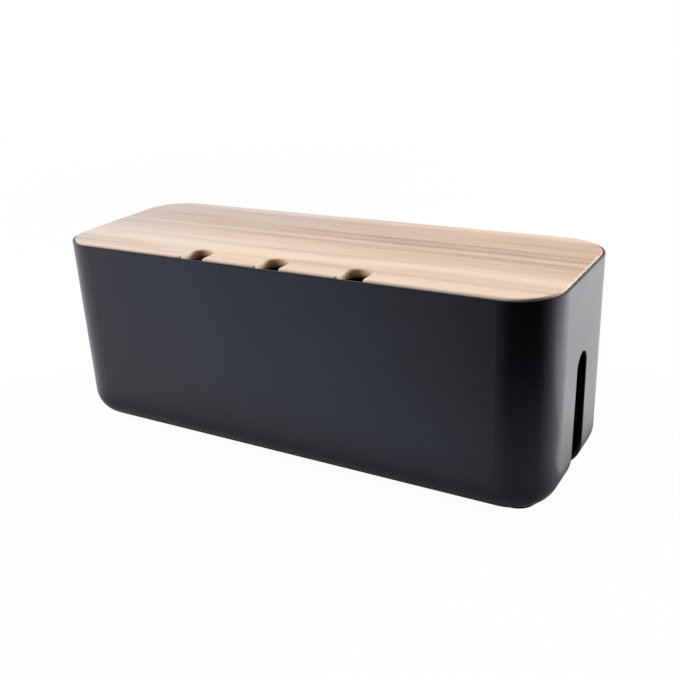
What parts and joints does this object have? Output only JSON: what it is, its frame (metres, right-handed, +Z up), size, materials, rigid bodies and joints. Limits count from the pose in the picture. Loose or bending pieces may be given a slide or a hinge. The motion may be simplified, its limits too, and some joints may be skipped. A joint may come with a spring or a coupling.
{
  "type": "cable management box",
  "caption": "Long rounded tub with a cable slot in each end and a loose wooden lid notched along its front edge, to hide a power strip and its leads.",
  "frame": {"origin": "on the surface that the box stands on, under its middle", "axes": "+X along the box, -Y its front, where the lid's notches are, +Z up"},
  "size_m": [0.4, 0.144, 0.1542],
  "materials": {
    "tub_plastic": "near-black moulded ABS with a fine satin grain",
    "lid_wood": "pale walnut with straight grain along the lid and a thin matt lacquer",
    "foot_rubber": "matt black rubber",
    "bumper_silicone": "dark silicone, slightly soft sheen"
  },
  "bodies": {
    "tub": {"tub": "tub_plastic", "foot_front_left": "foot_rubber", "foot_front_right": "foot_rubber", "foot_back_left": "foot_rubber", "foot_back_right": "foot_rubber", "lid_bumper_front_left": "bumper_silicone", "lid_bumper_front_right": "bumper_silicone", "lid_bumper_back_left": "bumper_silicone", "lid_bumper_back_right": "bumper_silicone"},
    "lid": {"lid": "lid_wood"}
  },
  "joints": [
    {"name": "lid_lift", "type": "slide", "parent": "tub", "child": "lid", "axis": [0, 0, 1], "range_m": [0, 0.16]}
  ]
}
